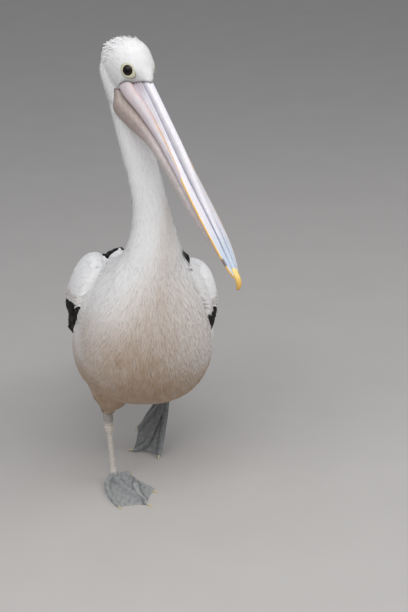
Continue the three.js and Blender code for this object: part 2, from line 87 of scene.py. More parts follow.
def smooth(rows, per):
    """Catmull-Rom rows between the rows of a table."""
    rows = np.asarray(rows, float)
    out = []
    for i in range(len(rows) - 1):
        a, b, c, d = rows[max(i - 1, 0)], rows[i], rows[i + 1], rows[min(i + 2, len(rows) - 1)]
        for t in np.arange(per) / per:
            even = 2 * b + (c - a) * t
            out.append(0.5 * (even + (2 * a - 5 * b + 4 * c - d) * t**2 + (3 * b - a - 3 * c + d) * t**3))
    return np.array(out + [rows[-1]])


def around(count):
    """Angles of a full turn."""
    return np.linspace(0, 2 * math.pi, count, endpoint=False)


def ripple(points, size, seed):
    """Soft uneven values, about -1 to 1, with lumps of the given size in metres."""
    pick = default_rng(seed)
    value = np.zeros(len(points))
    for _ in range(7):
        wave = unit(pick.normal(size=3)) * 2 * math.pi / size * pick.uniform(0.6, 1.5)
        value += np.sin(points @ wave + pick.uniform(0, 6.3))
    return value / 3.2


# ------ meshes
def add_object(name, data):
    obj = bpy.data.objects.new(name, data)
    bpy.context.scene.collection.objects.link(obj)
    return obj


def mesh_object(name, verts, faces, material, slot, colour):
    """A mesh from vertices and faces that all have as many corners."""
    faces = np.asarray(faces, np.int32)
    mesh = bpy.data.meshes.new(name)
    mesh.vertices.add(len(verts))
    mesh.vertices.foreach_set("co", np.asarray(verts, np.float32).ravel())
    mesh.loops.add(faces.size)
    mesh.loops.foreach_set("vertex_index", faces.ravel())
    mesh.polygons.add(len(faces))
    mesh.polygons.foreach_set("loop_start", np.arange(len(faces), dtype=np.int32) * faces.shape[1])
    mesh.update(calc_edges=True)
    mesh.polygons.foreach_set("use_smooth", np.ones(len(faces), bool))
    layer = mesh.color_attributes.new("tint", "FLOAT_COLOR", "POINT")
    rgba = np.ones((len(verts), 4), np.float32)
    rgba[:, :3] = colour
    layer.data.foreach_set("color", rgba.ravel())
    obj = add_object(name, mesh)
    mesh.materials.append(material)
    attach(obj, "root")
    return obj


def grid_faces(rows, cols, closed):
    """Quads of a grid; closed joins the last column to the first."""
    r = np.arange(rows - 1)[:, None]
    c = np.arange(cols if closed else cols - 1)[None, :]
    d = (c + 1) % cols
    quads = np.stack([r * cols + c, r * cols + d, (r + 1) * cols + d, (r + 1) * cols + c], -1)
    return quads.reshape(-1, 4)


def sealed(rings, colour):
    """A tube through rings (m, k, 3), its ends gathered to points: vertices, faces, colours."""
    rings = np.asarray(rings)
    m, k = rings.shape[:2]
    ends = []
    for ring, fraction in ((rings[0], 0.02), (rings[0], 0.5), (rings[-1], 0.5), (rings[-1], 0.02)):
        centre = ring.mean(0)
        ends.append(centre + (ring - centre) * fraction)
    rings = np.concatenate([ends[:2], rings, ends[2:]])
    colour = np.asarray(colour)
    colour = np.concatenate([colour[:1], colour[:1], colour, colour[-1:], colour[-1:]])
    return rings.reshape(-1, 3), grid_faces(m + 4, k, True), colour.reshape(-1, 3)


def joined(pieces):
    """Lists of the vertices and faces of several pieces (vertices, faces, ...)."""
    verts, faces = [], []
    for piece in pieces:
        faces.extend((piece[1] + len(verts)).tolist())
        verts.extend(piece[0].tolist())
    return verts, faces


def shell(name, mat, slot, *tubes):
    """One mesh from closed tubes."""
    return mesh_object(name, *joined(tubes), mat, slot, np.concatenate([t[2] for t in tubes]))


# ------ materials
def put(node, values):
    """Set a shader node's own sockets."""
    for socket, value in values.items():
        node.inputs[socket].default_value = value


def material(name, roughness, specular=0.5, bump=0.0, scale=400.0, kind="noise", sheen=0.0, coat=0.0,
             variation=0.08, subsurface=0.0, colour=None, coat_roughness=0.1):
    """The piece's tint, or the given colour, broken by fine noise, with its own grain as bump."""
    mat = bpy.data.materials.new(name)
    mat.use_nodes = True
    nodes, links = mat.node_tree.nodes, mat.node_tree.links
    bsdf = nodes["Principled BSDF"]
    put(bsdf, {"Roughness": roughness, "Specular IOR Level": specular, "Sheen Weight": sheen,
               "Coat Weight": coat, "Coat Roughness": coat_roughness, "Subsurface Weight": subsurface,
               "Subsurface Scale": 0.002})
    where = nodes.new("ShaderNodeTexCoord")
    cloud = nodes.new("ShaderNodeTexNoise")
    put(cloud, {"Scale": scale * 0.35, "Detail": 4})
    links.new(where.outputs["Object"], cloud.inputs["Vector"])
    ramp = nodes.new("ShaderNodeMapRange")
    put(ramp, {"From Min": 0.3, "From Max": 0.7, "To Min": 1 - variation, "To Max": 1 + variation * 0.5})
    links.new(cloud.outputs["Fac"], ramp.inputs["Value"])
    mix = nodes.new("ShaderNodeVectorMath")
    mix.operation = "SCALE"
    if colour is None:
        source = nodes.new("ShaderNodeAttribute")
        source.attribute_name = "tint"
        links.new(source.outputs["Color"], mix.inputs[0])
    else:
        mix.inputs[0].default_value = colour
    links.new(ramp.outputs["Result"], mix.inputs["Scale"])
    links.new(mix.outputs["Vector"], bsdf.inputs["Base Color"])
    if bump:
        grain = nodes.new("ShaderNodeTexVoronoi" if kind == "scales" else "ShaderNodeTexNoise")
        put(grain, {"Scale": scale})
        links.new(where.outputs["Object"], grain.inputs["Vector"])
        relief = nodes.new("ShaderNodeBump")
        put(relief, {"Strength": 0.6, "Distance": bump})
        height = grain.outputs["Distance"] if kind == "scales" else grain.outputs["Fac"]
        links.new(height, relief.inputs["Height"])
        links.new(relief.outputs["Normal"], bsdf.inputs["Normal"])
    return mat


PLUME = material("white_feather", 0.75, 0.25, 0.0002, 900, sheen=0.15, variation=0.05)
PLUME_SKIN = material("down_and_skin", 0.85, 0.2, 0.0004, 700, sheen=0.1, variation=0.08)
DARK = material("black_feather", 0.62, 0.06, 0.0002, 800, variation=0.25)
BILL = material("bill_horn", 0.38, 0.45, 0.0002, 260, variation=0.06, subsurface=0.08)
POUCH = material("throat_skin", 0.5, 0.4, 0.0005, 420, variation=0.12, subsurface=0.05)
LEG = material("leg_scales", 0.5, 0.45, 0.0005, 520, kind="scales", variation=0.14)
CLAW = material("claw_horn", 0.35, 0.5, 0.0001, 900, variation=0.1, colour=(0.62, 0.55, 0.36))
LID = material("eye_skin", 0.5, 0.4, 0.0003, 1400, kind="scales", variation=0.1)
EYE = material("eye_ball", 0.2, 0.1, 0.0, 900, coat=0.22, variation=0.1, coat_roughness=0.03)

# ------ markings
WHITE = np.array([0.84, 0.835, 0.83])
# BUFF is the stain's colour, made dark and warm enough to carry painted shade and warm bounce light on the
# belly too.
BUFF = np.array([0.46, 0.325, 0.22])
BLACK = np.array([0.007, 0.0055, 0.0045])
# Dark feathers of the left shoulder, beside the root of the neck: ends and half widths of streaks.
SHOULDER = (((65, -162, 509), (72, -148, 501), 9.0), ((72, -148, 501), (82, -128, 488), 14.5),
            ((79, -160, 482), (80, -158, 478), 2.6))
# The buff down foreneck and breast, part stain and part painted shade that grows lower down: height, middle,
# half width, strength.
STAIN_AND_SHADE = (
    (240, 0, 260, 0.97), (270, 0, 210, 0.93), (300, -15, 150, 0.86), (337, -28, 135, 0.80),
    (375, -8, 125, 0.66), (405, 12, 85, 0.56), (437, 24, 64, 0.50), (485, 26, 32, 0.34),
    (540, 34, 17, 0.30), (600, 38, 13, 0.22), (640, 40, 12, 0.0))


def streak(points, start, end):
    """Distance in millimetres from a line between two table points."""
    p, a, b = table(points), np.array(start, float), np.array(end, float)
    t = np.clip((p - a) @ (b - a) / ((b - a) @ (b - a)), 0, 1)
    return np.linalg.norm(p - a - t[:, None] * (b - a), axis=1)


def plumage(points):
    """White; buff down foreneck, breast and belly, part stain and part painted shade; the dark shoulder."""
    p = table(points)
    x, y, z = p[:, 0], p[:, 1], p[:, 2]
    level, middle, half, strength = np.array(STAIN_AND_SHADE, float).T
    off = (x - np.interp(z, level, middle)) / np.interp(z, level, half)
    breast = np.exp(-(off**2)) * np.interp(z, level, strength) * step(-60, -140, y)
    # Under the body the buff stain is deepened by painted shade and warm bounce light from the ground.
    belly = step(365, 250, z) * step(230, 80, np.abs(y + 30)) * step(170, 110, np.abs(x - 4))
    grain = 0.6 * ripple(points * [3, 3, 0.7], 0.05, 4) + 0.5 * ripple(points * [2, 2, 0.6], 0.02, 8)
    stain_and_shade = np.clip((np.maximum(breast, 0.97 * belly)) * np.clip(1 + 0.13 * grain, 0.3, 1.4), 0, 1)
    colour = WHITE + (BUFF - WHITE) * stain_and_shade[:, None]
    ragged = 1.6 * ripple(points, 0.012, 5)
    for start, end, half in SHOULDER:
        dark = step(half + 1, half - 0.5, streak(points, start, end) + ragged)
        colour = colour + (BLACK - colour) * dark[:, None]
    return colour


def all_black(points):
    return np.tile(BLACK, (len(points), 1))


# ------ the skin under the feathers
def node_arrays(name, puff=0.0):
    """A CAD node's vertices, moved out by puff, and its triangles."""
    bm = bmesh.new()
    bm.from_mesh(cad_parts[name].data)
    bmesh.ops.remove_doubles(bm, verts=bm.verts, dist=2e-6)
    bmesh.ops.triangulate(bm, faces=bm.faces)
    bm.normal_update()
    bm.verts.index_update()
    verts = np.array([v.co + v.normal * puff for v in bm.verts])
    tris = np.array([[v.index for v in f.verts] for f in bm.faces])
    bm.free()
    return verts, tris


def fused(pieces, voxel):
    """Closed pieces joined into one skin: vertices and quads of a voxel remesh."""
    mesh = bpy.data.meshes.new("fusing")
    verts, faces = joined(pieces)
    mesh.from_pydata(verts, [], faces)
    obj = add_object("fusing", mesh)
    remesh = obj.modifiers.new("remesh", "REMESH")
    remesh.mode = "VOXEL"
    remesh.voxel_size = voxel
    made = obj.evaluated_get(bpy.context.evaluated_depsgraph_get()).to_mesh()
    out = np.empty(len(made.vertices) * 3, np.float32)
    made.vertices.foreach_get("co", out)
    quads = np.array([p.vertices[:] for p in made.polygons], np.int64)
    bpy.data.objects.remove(obj)
    bpy.data.meshes.remove(mesh)
    return out.reshape(-1, 3).astype(float), quads


def point_tree(points):
    tree = KDTree(len(points))
    for i, point in enumerate(points.tolist()):
        tree.insert(point, i)
    tree.balance()
    return tree


class Surface:
    """Vertices and quads with smooth normals, to relax, shrink and lay feathers on."""

    def __init__(self, verts, quads):
        self.verts, self.quads = verts, quads
        edges = np.concatenate([quads[:, [i, (i + 1) % 4]] for i in range(4)])
        self.edges = np.concatenate([edges, edges[:, ::-1]])
        self.count = np.bincount(self.edges[:, 0], minlength=len(verts))[:, None]

    def relax(self, times, weight=1.0, keep=0.53):
        """Smooth without much shrinking: each step is undone a little."""
        for _ in range(times):
            for factor in (0.5, -keep):
                self.verts = self.verts + factor * weight * self.pull(self.verts)

    def pull(self, values):
        """Where each vertex's neighbours average, less the vertex itself."""
        start, end = self.edges.T
        total = np.stack([np.bincount(start, values[end, k], len(values)) for k in range(3)], 1)
        return total / self.count - values

    def normals(self):
        v, q = self.verts, self.quads
        face = np.cross(v[q[:, 2]] - v[q[:, 0]], v[q[:, 3]] - v[q[:, 1]])
        out = np.zeros_like(v)
        for k in range(3):
            for i in range(4):
                out[:, k] += np.bincount(q[:, i], face[:, k], len(v))
        return unit(out)

    def ready(self):
        """Triangles, smooth face normals and a search tree."""
        self.tris = np.concatenate([self.quads[:, [0, 1, 2]], self.quads[:, [0, 2, 3]]])
        self.face_normal = unit(self.normals()[self.tris].sum(1))
        self.middle = self.verts[self.tris].mean(1)
        self.tree = BVHTree.FromPolygons(self.verts.tolist(), self.tris.tolist())

    def project(self, points):
        """Nearest points, their normals and the triangles they lie on."""
        hits = [self.tree.find_nearest(p) for p in points.tolist()]
        index = np.array([h[2] for h in hits])
        return np.array([h[0][:] for h in hits]), self.face_normal[index], index

    def scatter(self, chosen, spacing, seed):
        """Even but irregular roots on the chosen triangles, no two nearer than spacing."""
        pick = default_rng(seed)
        tri = self.verts[self.tris[chosen]]
        area = np.linalg.norm(np.cross(tri[:, 1] - tri[:, 0], tri[:, 2] - tri[:, 0]), axis=1) / 2
        n = int(area.sum() / spacing**2 * 2.6)
        which = pick.choice(len(tri), n, p=area / area.sum())
        a, b = pick.random(n), pick.random(n)
        a, b = np.where(a + b > 1, 1 - a, a), np.where(a + b > 1, 1 - b, b)
        t = tri[which]
        points = t[:, 0] + (t[:, 1] - t[:, 0]) * a[:, None] + (t[:, 2] - t[:, 0]) * b[:, None]
        tree = point_tree(points)
        listed = points.tolist()
        free = np.ones(n, bool)
        for i in range(n):
            if free[i]:
                for _, j, _ in tree.find_range(listed[i], spacing):
                    if j > i:
                        free[j] = False
        return points[free]


YAW, DOWN, ROLL = (math.radians(a) for a in (33, 47.2, 3))
BILL_ROOT = place([-5, -188, 810])
BILL_WAY = np.array([math.sin(YAW) * math.cos(DOWN), -math.cos(YAW) * math.cos(DOWN), -math.sin(DOWN)])
LEVEL = np.array([math.cos(YAW), math.sin(YAW), 0.0])
CROWN = np.cross(BILL_WAY, LEVEL) * math.cos(ROLL) + LEVEL * math.sin(ROLL)
HEAD_LEFT = LEVEL * math.cos(ROLL) - np.cross(BILL_WAY, LEVEL) * math.sin(ROLL)


def head_point(f, l, u):
    """Along the bill, to the bird's left, towards the crown, in millimetres from the bill's root."""
    f, l, u = (np.asarray(a, float)[..., None] for a in (f, l, u))
    return BILL_ROOT + (BILL_WAY * f + HEAD_LEFT * l + CROWN * u) * MM


def head_frame(points):
    """The reverse of head_point: columns f, l, u."""
    return (points - BILL_ROOT) @ np.stack([BILL_WAY, HEAD_LEFT, CROWN], 1) / MM


WING_NODES = [f"{part}_{side}" for part in ("wing", "scapulars", "flight") for side in ("right", "left")]
FLESH = ["head", "neck_upper", "neck_lower", "trunk", "rump", "thigh_right", "thigh_left",
         *WING_NODES, "tail"]
SKIN_VOXEL = 0.003
FILLET_PASSES = 24


def nearest_node(points):
    """Index in FLESH of the CAD node nearest to each point."""
    pieces = [node_arrays(name) for name in FLESH]
    owner = np.repeat(np.arange(len(FLESH)), [len(tris) for _, tris in pieces])
    tree = BVHTree.FromPolygons(*joined(pieces))
    return np.array([owner[tree.find_nearest(p)[2]] for p in points.tolist()])


# How thick the feathers lie over the skin, in millimetres; WING_COAT where the table has no row.
COAT_DEPTH = {"head": 1.5, "neck": 2, "trunk": 2.6, "rump": 2.6, "thigh": 2, "tail": 2.2}
WING_COAT = 3
# Where the folded wings' markings and edges run: rows of y and z (or z and x), in millimetres.
BLACK_EDGE = {"right": ((-130, 408), (-69, 398), (40, 360), (150, 312), (245, 274), (300, 255)),
              "left": ((-130, 393), (-103, 391), (40, 342), (150, 292), (245, 256), (300, 240))}
SCAPULAR_FRONT = ((30, -18), (44, -23), (52, -26), (60, -31), (66, -40))
RIGHT_CREASE = ((340, -122), (380, -118), (407, -111), (429, -101), (457, -81), (480, -62))
LEFT_CREASE = ((340, 121), (373, 115), (421, 102), (444, 91), (481, 79), (500, 74))


def relabel(points, label):
    """Move the borders of wing, flight feathers and breast to where the plumage changes."""
    x, y, z = table(points).T
    number = {name: i for i, name in enumerate(FLESH)}
    front = y < -70
    crease = np.interp(z, *zip(*RIGHT_CREASE))
    label = np.where((label == number["wing_right"]) & front & (x > crease), number["trunk"], label)
    crease = np.interp(z, *zip(*LEFT_CREASE))
    beside = (label == number["trunk"]) & front & (x > crease) & (z > 345) & (z < 486)
    label = np.where(beside, number["wing_left"], label)
    for side in ("right", "left"):
        fore = (label == number[f"scapulars_{side}"]) & (y < np.interp(abs(x), *zip(*SCAPULAR_FRONT)))
        label = np.where(fore, number["trunk"], label)
        low = z < np.interp(y, *zip(*BLACK_EDGE[side]))
        label = np.where((label == number[f"wing_{side}"]) & low, number[f"flight_{side}"], label)
    return label


def crease_mask(surface, group, passes):
    """1 where two groups meet, fading to 0 over some millimetres."""
    edges = surface.edges
    value = np.zeros((len(group), 3))
    value[edges[group[edges[:, 0]] != group[edges[:, 1]]].ravel()] = 1
    for _ in range(passes):
        value = value + 0.5 * surface.pull(value)
    return np.clip(value[:, :1] / 0.45, 0, 1)


def group_of(name):
    """0 the body, 1 the tail, 2 and 3 the right and left folded wings."""
    if name in WING_NODES:
        return 2 if name.endswith("right") else 3
    return int(name == "tail")


# The rounded forms under the plumage, in millimetres.
# Neck and trunk: back y, z; breast y, z; half width; sideways shift; share of the trunk's lean;
# fullness; where the widest level lies between back (0) and belly (1).
BODY_ROWS = [
    (322, 254, 316, 226, 24, 5, 1, 2, 0.5), (296, 276, 284, 208, 48, 5, 1, 2.1, 0.5),
    (244, 316, 220, 186, 80, 5, 1, 2.2, 0.52), (180, 360, 142, 171, 104, 5, 1, 2.25, 0.54),
    (110, 402, 72, 163, 118, 4, 1, 2.3, 0.56), (40, 440, 5, 165, 124, 4, 1, 2.3, 0.57),
    (-25, 468, -60, 184, 125, 3, 1, 2.3, 0.57), (-66, 484, -125, 215, 121, 3, 1, 2.35, 0.57),
    (-92, 496, -175, 263, 111, 3, 1, 2.35, 0.56), (-108, 508, -204, 322, 96, 4, 1, 2.3, 0.55),
    (-118, 522, -216, 384, 77, 3, 1, 2.15, 0.53), (-125, 540, -214, 444, 58, 3, 0.7, 2, 0.5),
    (-128, 563, -206, 505, 43, 8, 0.35, 2, 0.5), (-128, 592, -196, 555, 34.5, 10, 0.1, 2, 0.5),
    (-126, 625, -189, 600, 30, 7, 0, 2, 0.5), (-123, 660, -183, 642, 29.3, -1, 0, 2, 0.5),
    (-119, 698, -178, 686, 29, -11, 0, 2, 0.5), (-115, 735, -175, 728, 29.5, -19, 0, 2, 0.5),
    (-112, 770, -173, 764, 31, -25, 0, 2, 0.5), (-112, 802, -170, 794, 32.8, -31.4, 0, 2, 0.5),
    (-117, 832, -165, 815, 32, -36.6, 0, 2, 0.5), (-127, 855, -160, 834, 25, -37, 0, 2, 0.5)]
# Head: distance along the bill, height of the middle, half width, height over and depth under it.
HEAD_ROWS = [
    (-88, -17, 9, 9, 11), (-86, -19, 15, 16, 22), (-77, -15, 23.5, 27, 35), (-62, -8, 30.5, 37.5, 46),
    (-43, -3, 33.5, 40.5, 49), (-24, -1, 32, 37.5, 48), (-15, -1, 30.8, 35, 44.5), (-10, 0, 29.2, 32.5, 37),
    (-7, 1, 25, 30.5, 23), (-2, 4, 19.2, 26.8, 12.5), (1, 8, 15.8, 22.2, 10), (4, 12.5, 12.8, 16.6, 7),
    (8, 17, 10, 10.4, 5), (12, 20.5, 6.8, 5, 3), (14.5, 20, 3, 2, 2)]
# Wing, scapulars and flight feathers: y, distance out, height, half thickness, half height, tilt.
WING_ROWS = [
    (-120, 86, 403, 9, 13, 8), (-113, 89, 401, 21, 33, 8), (-96, 93, 399, 29, 51, 8),
    (-62, 96, 396, 34, 63, 8), (-15, 98, 388, 35.5, 69, 10), (40, 95, 372, 35, 68, 14),
    (95, 88, 350, 32, 64, 20), (150, 77, 325, 27, 56, 25), (200, 67, 302, 22, 46, 29),
    (245, 57, 282, 17, 34, 32), (276, 50, 268, 11, 20, 34), (288, 47, 262, 5, 9, 35)]
FLIGHT_ROWS = [
    (-40, 96, 346, 14, 32, 2), (-15, 97, 341, 28, 58, 2), (40, 97, 326, 30, 62, 6),
    (100, 90, 306, 30, 58, 12), (170, 76, 284, 26, 50, 20), (240, 58, 260, 20, 42, 28),
    (310, 40, 236, 13, 31, 36), (370, 28, 213, 8, 20, 42), (408, 21, 200, 4, 10, 46)]
SCAPULAR_ROWS = [
    (-58, 62, 445, 4, 12, 42), (-44, 64, 446, 10, 28, 42), (-6, 66, 436, 16, 40, 44),
    (50, 63, 411, 18, 43, 48), (120, 57, 375, 17, 41, 53), (180, 50, 343, 15, 35, 57),
    (230, 43, 317, 11, 25, 60), (262, 37, 300, 4, 10, 60)]
# Tail: y, height, half width, thickness over the middle.
TAIL_ROWS = [
    (432, 176, 44, 3), (424, 178, 60, 4), (390, 192, 66, 6), (350, 210, 62, 9), (310, 229, 52, 12),
    (282, 240, 40, 14)]
# Feathered shins: x, y, z, half width, half depth.
SHIN_ROWS = {
    "right": [
        (-60.5, 3, 141, 9.8, 9.8), (-60, 2, 150, 15, 15.5), (-58, 0, 162, 23, 25), (-55, -4, 180, 36, 36),
        (-53, -8, 210, 47, 46), (-50, -12, 235, 50, 50)],
    "left": [
        (59.4, 85, 168, 9.8, 9.8), (59.6, 78, 178, 17, 17), (60, 66, 192, 26, 27), (57, 46, 216, 36, 40)]}


# The trunk leans onto the left side, about a line along it; the left wing lies a little lower.
LEAN, LEAN_X, LEAN_Z = math.radians(5), 5, 320
LEFT_DROP = 3


def leaned(points, share=1.0):
    """Points turned by the trunk's lean, or a share of it."""
    a = LEAN * share
    x, y, z = points.T
    return np.stack([LEAN_X + (x - LEAN_X) * math.cos(a) + (z - LEAN_Z) * math.sin(a), y,
                     LEAN_Z - (x - LEAN_X) * math.sin(a) + (z - LEAN_Z) * math.cos(a)], 1)


def squarish(turn, fullness, w, up, down):
    """A ring's offsets: half width w, reaching up and down from its widest level."""
    c, s = np.cos(turn), np.sin(turn)
    x = np.sign(c) * np.abs(c) ** (2 / fullness) * w
    y = np.sign(s) * np.abs(s) ** (2 / fullness)
    return x, np.where(y > 0, y * up, y * down)


TURN = around(48)
ACROSS = np.array([1.0, 0, 0])


def ringed(middle, side, up, w, above, below, fullness):
    x, y = squarish(TURN, fullness, w, above, below)
    return np.asarray(middle, float) + x[:, None] * side + y[:, None] * up


def sides_of(line, hint):
    """Side and up directions at each point of a line."""
    way = unit(np.gradient(line, axis=0))
    side = unit(np.cross(hint, way))
    return side, np.cross(way, side)


def capped(rings):
    """A closed tube without colours."""
    return sealed(rings, np.zeros((len(rings), len(TURN), 3)))[:2]


def body_piece():
    rings = []
    for back_y, back_z, breast_y, breast_z, w, x, share, fullness, wide in smooth(BODY_ROWS, 6):
        back, breast = np.array([x, back_y, back_z]), np.array([x, breast_y, breast_z])
        deep = np.linalg.norm(back - breast)
        up = (back - breast) / deep
        middle = breast + (back - breast) * (1 - wide)
        ring = ringed(middle, ACROSS, up, w, deep * wide, deep * (1 - wide), fullness)
        rings.append(place(leaned(ring, share)))
    return capped(rings)


def head_piece():
    rings = []
    for f, u, w, above, below in smooth(HEAD_ROWS, 5):
        x, y = squarish(TURN, 2.1, w, above, below)
        rings.append(head_point(f, x, u + y))
    return capped(rings)


def panel_piece(rows, s, fullness, outer=0):
    """The wing, scapulars or flight feathers of side s; outer moves the left one out."""
    rings = []
    for y, x, z, thick, high, tilt in smooth(rows, 5):
        a = math.radians(tilt)
        side, up = np.array([math.cos(a), 0, s * math.sin(a)]), np.array([-s * math.sin(a), 0, math.cos(a)])
        middle = (s * x + (outer if s > 0 else 0), y, z - (LEFT_DROP if s > 0 else 0))
        rings.append(place(leaned(ringed(middle, side, up, thick, high, high, fullness))))
    return capped(rings)


def tail_piece():
    up = unit(np.array([0, 0.42, 0.9]))
    return capped([place(leaned(ringed((5, y, z), ACROSS, up, w, t, t * 0.6, 2.6)))
                   for y, z, w, t in smooth(TAIL_ROWS, 5)])


def shin_piece(rows):
    rows = smooth(rows, 5)
    frames = zip(rows, *sides_of(rows[:, :3], (0, 1, 0.02)))
    return capped([place(ringed(r[:3], side, up, r[3], r[4], r[4], 2)) for r, side, up in frames])


def body_surface():
    """The skin under the coat: smooth forms fused, with creases where groups of feathers meet."""
    pieces = [body_piece(), head_piece(), tail_piece(), *(shin_piece(rows) for rows in SHIN_ROWS.values())]
    for s in (-1, 1):
        pieces += [panel_piece(WING_ROWS, s, 2.2), panel_piece(FLIGHT_ROWS, s, 2.2, 8),
                   panel_piece(SCAPULAR_ROWS, s, 2.0)]
    surface = Surface(*fused(pieces, SKIN_VOXEL))
    surface.relax(6)
    label = relabel(surface.verts, nearest_node(surface.verts))
    depth = np.array([COAT_DEPTH.get(name.partition("_")[0], WING_COAT) * MM for name in FLESH])
    depth = depth[label][:, None].repeat(3, 1)
    for _ in range(12):
        depth = depth + 0.5 * surface.pull(depth)
    group = np.array([group_of(name) for name in FLESH])[label]
    surface.crease = crease_mask(surface, group, 5)
    feathers = crease_mask(surface, label, 3)
    shin = np.isin(label, [FLESH.index("thigh_right"), FLESH.index("thigh_left")])
    fillet = crease_mask(surface, shin * 1, FILLET_PASSES)
    surface.relax(FILLET_PASSES, fillet, keep=0.0)
    depth = depth[:, :1] + MM * (3.2 * surface.crease + 0.6 * feathers)
    surface.verts = surface.verts - surface.normals() * depth
    surface.relax(3)
    surface.ready()
    surface.label = label
    return surface


skin = body_surface()
skin.tri_label = skin.label[skin.tris[:, 0]]


def region(*names):
    """Which skin triangles belong to the named nodes."""
    return np.isin(skin.tri_label, [FLESH.index(n) for n in names])


def parts_of(group):
    return region(*(name for name in FLESH if group_of(name) == group))


# ------ the lie of the feathers
class Axis:
    """A line through a part, from where its feathers start to where they point."""

    def __init__(self, points, spread):
        self.at = place(smooth(points, 8))
        self.way = unit(np.gradient(self.at, axis=0))
        self.along = np.concatenate([[0], np.cumsum(np.linalg.norm(np.diff(self.at, axis=0), axis=1))])
        self.spread = spread * MM

    def weights(self, points):
        gap = ((points[:, None, :] - self.at[None]) ** 2).sum(2)
        w = np.exp(-(gap - gap.min(1, keepdims=True)) / (2 * self.spread**2))
        return w / w.sum(1, keepdims=True)

    def flow(self, points):
        return unit(self.weights(points) @ self.way)

    def unwrap(self, points):
        """Length along the axis and turn around it, each 0 to 1."""
        w = self.weights(points)
        way, centre, along = unit(w @ self.way), w @ self.at, w @ self.along
        side = unit(ACROSS - way * way[:, :1])
        third = np.cross(way, side)
        out = points - centre
        turn = np.arctan2(dot(out, third)[:, 0], dot(out, side)[:, 0]) / (2 * math.pi) + 0.5
        low, high = along.min(), along.max()
        return np.stack([0.02 + 0.96 * turn, 0.02 + 0.96 * (along - low) / (high - low + 1e-9)], 1)


# From the face over the neck to the tail.
BODY_LINE = [
    *(table(head_point(f, 0, u)) for f, u in ((6, -4), (-20, -3), (-42, -3))), (-37, -140, 815),
    (-31, -142, 785), (-19, -147, 735), (-3, -152, 665), (8, -160, 590), (8, -166, 520), (5, -158, 450),
    (4, -128, 385), (4, -70, 345), (4, 0, 318), (4, 110, 285), (4, 230, 255), (5, 330, 225), (5, 420, 185)]
BODY_AXIS = Axis(BODY_LINE, 26)
TRUNK_AXIS = Axis(BODY_LINE[8:], 55)
WING_LINE = ((80, -150, 470), (90, -118, 425), (97, -60, 390), (95, 40, 365), (77, 150, 320), (57, 245, 280),
             (35, 330, 240), (21, 410, 200))
SIDES = {"right": -1, "left": 1}
WING_AXIS = {side: Axis([(s * x, y, z) for x, y, z in WING_LINE], 45) for side, s in SIDES.items()}


# ------ feathers
def trace(roots, flow, length, t_rows, yaw):
    """Lay a line of points along the skin from each root: points, normals, ways, triangles."""
    point, normal, index = skin.project(roots)
    angle = yaw[:, None]
    rows = []
    before = 0.0
    for t in t_rows:
        way = flow(point)
        way = unit(way - normal * dot(way, normal))
        way = way * np.cos(angle) + np.cross(normal, way) * np.sin(angle)
        if t > before:
            point, normal, index = skin.project(point + way * (length * (t - before))[:, None])
            way = unit(way - normal * dot(way, normal))
        before = t
        rows.append((point, normal, way, index))
    return [np.stack(a, 1) for a in zip(*rows)]


def trimmed(roots, flow, length, yaw, inside, spill, seed):
    """Feather lengths cut so that tips reach no further than spill past the inside."""
    steps = np.linspace(0, 1, 7)
    faces = trace(roots, flow, length, steps, yaw)[3]
    outside = ~inside[faces]
    first = np.where(outside.any(1), outside.argmax(1), len(steps))
    room = np.clip((first - 1) / (len(steps) - 1), 0, 1) * length
    extra = default_rng(seed).uniform(0, spill, len(roots)) * MM
    return np.where(first < len(steps), np.minimum(length, room + extra + 2 * MM), length)


# SHADE paints shade on each feather, darker at its root than at its tip.
CUP, NOTCH, SHADE = 0.25, 0.03, 0.08  # bent edges, uneven tips, and the darkening towards the root
PATCH = 0.0015  # half the size of one feather's patch in the bake map


def blades(name, spine, normals, ways, width, length, t_rows, x_cols, shape, lift, tint, uv, mat, slot,
           arc=0.25, bank=0.0, uneven=0.02, seed=0):
    """One thin vane per spine, all joined into one mesh. Lift, CUP and bank set how it stands off
    the skin: along its length, down at both edges, and one edge over the other."""
    pick = default_rng(seed)
    n, rows, cols = len(spine), len(t_rows), len(x_cols)
    t = np.asarray(t_rows)[None, :, None]
    x = np.asarray(x_cols)[None, None, :]
    across = np.cross(normals, ways)
    half = width[:, None, None] * shape(t) * x
    slip = -arc * x**2 * t**2 * np.ones((n, 1, 1))
    slip[:, -1:, :] -= np.abs(pick.normal(0, NOTCH, (n, 1, cols)))
    rise = lift(t) * pick.uniform(0.75, 1.2, (n, 1, 1)) + bank * MM * x - CUP * np.abs(half) * np.abs(x)
    verts = (spine[:, :, None] + across[:, :, None] * half[..., None] + normals[:, :, None] * rise[..., None]
             + ways[:, :, None] * (slip * length[:, None, None])[..., None])
    base = (np.arange(n) * rows * cols)[:, None, None]
    faces = (grid_faces(rows, cols, False)[None] + base).reshape(-1, 4)
    # Painted shade: each vane darker towards its root, by SHADE.
    tone = (1 - SHADE + SHADE * 1.2 * t + 0 * x) * pick.uniform(1 - uneven, 1 + uneven, (n, 1, 1))
    colour = tint[:, None, None, :] * tone[..., None]
    obj = mesh_object(name, verts.reshape(-1, 3), faces, mat, slot, colour.reshape(-1, 3))
    patch = np.stack([np.broadcast_to(a, (n, rows, cols)) for a in (x, 2 * t - 1)], -1) * PATCH
    flat = (uv[:, None, None, :] + patch).reshape(-1, 2)
    layer = obj.data.uv_layers.new(name="OFBake")
    layer.data.foreach_set("uv", flat[faces.ravel()].astype(np.float32).ravel())
    COAT_SIZES[name] = len(faces) * 2
    return obj


